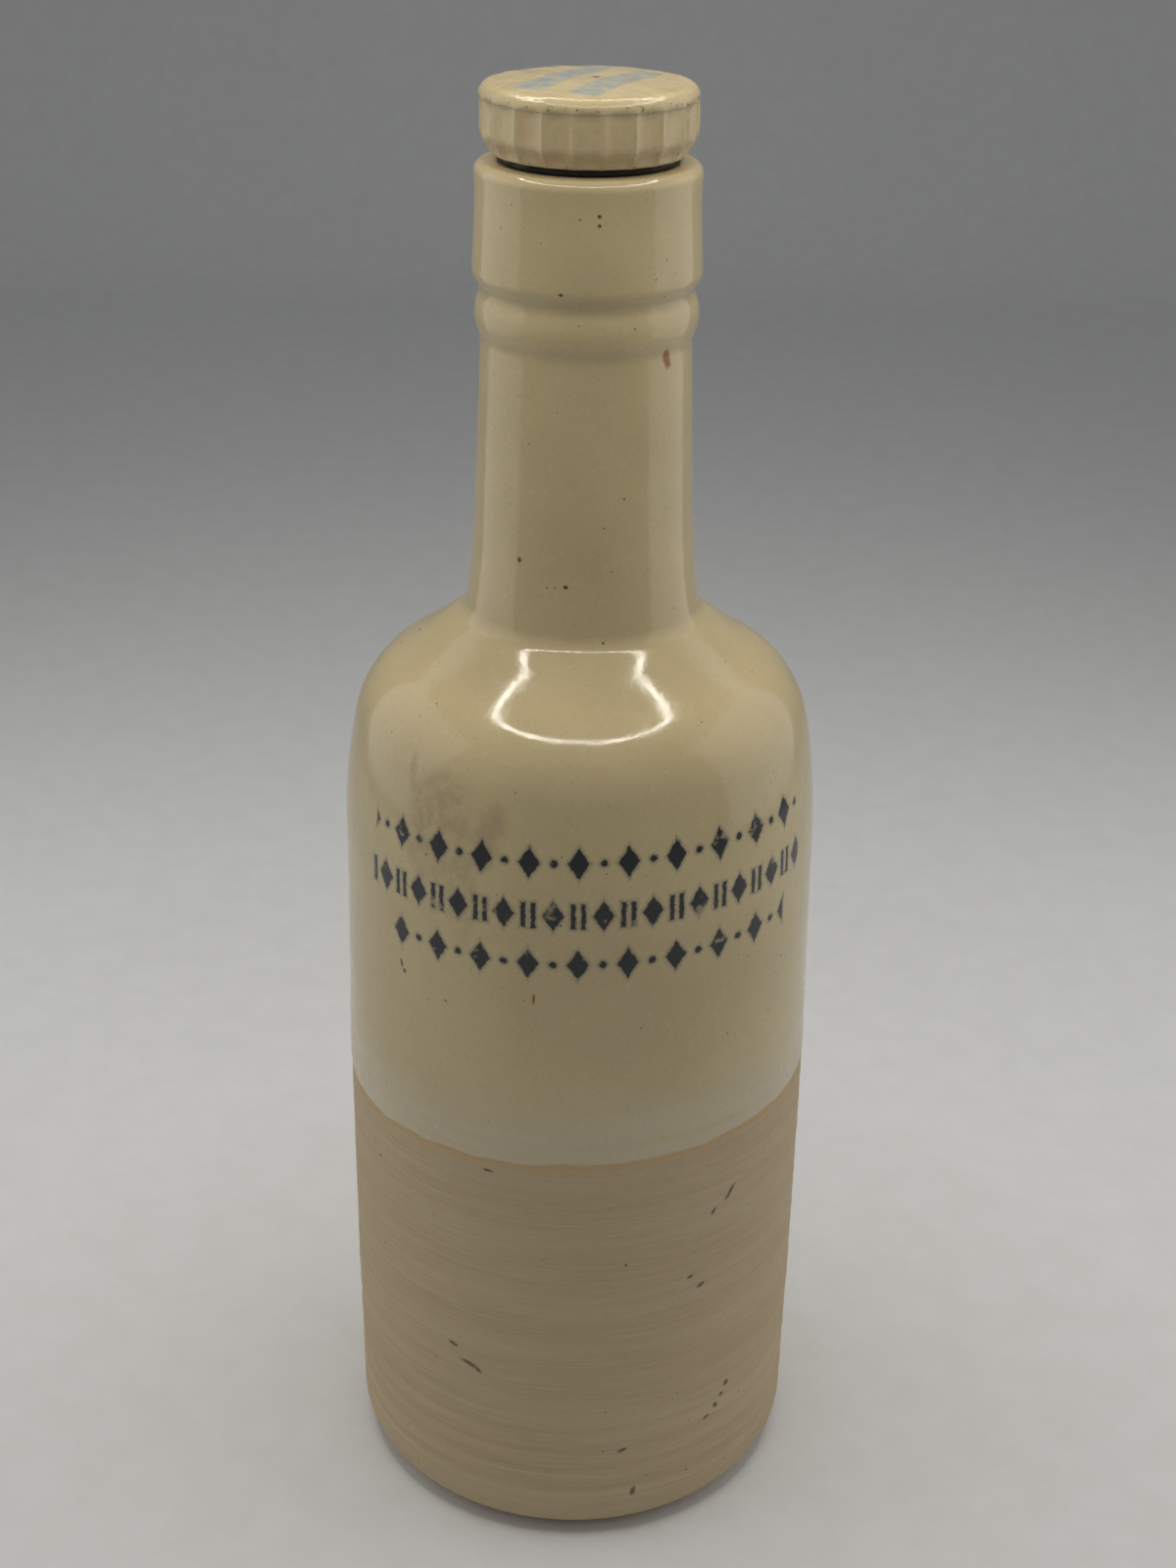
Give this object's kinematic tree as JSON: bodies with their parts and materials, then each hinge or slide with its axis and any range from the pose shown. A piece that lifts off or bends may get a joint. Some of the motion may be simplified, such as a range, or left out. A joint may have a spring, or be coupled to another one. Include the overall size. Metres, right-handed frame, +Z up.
{
  "type": "stoneware bottle",
  "caption": "Tall round-shouldered stoneware bottle with a collared neck, closed by a fluted screw stopper on a rubber washer.",
  "frame": {"origin": "centre of the flat ring that the bottle stands on", "axes": "+Z up along the bottle's axis towards the stopper; -Y is the side that the picture shows, +X is to its right"},
  "size_m": [0.0952, 0.0952, 0.2939],
  "materials": {
    "stoneware": "cream gloss glaze on the upper half over bare tan clay, with fine iron specks",
    "washer_rubber": "matt black rubber",
    "stopper_stoneware": "cream gloss glaze with iron specks"
  },
  "bodies": {
    "bottle": {"bottle": "stoneware"},
    "washer": {"sealing_washer": "washer_rubber"},
    "stopper": {"stopper": "stopper_stoneware"}
  },
  "joints": [
    {"name": "stopper_rise", "type": "slide", "parent": "bottle", "child": "washer", "axis": [0, 0, 1], "range_m": [0, 0.03]},
    {"name": "stopper_turn", "type": "hinge", "parent": "washer", "child": "stopper", "pos_m": [0, 0, 0.2808], "axis": [0, 0, 1], "range_deg": [0, 2160]}
  ],
  "couplings": [
    {"joint": "stopper_rise", "follows": "stopper_turn", "m_per_rad": 0.00079577}
  ]
}
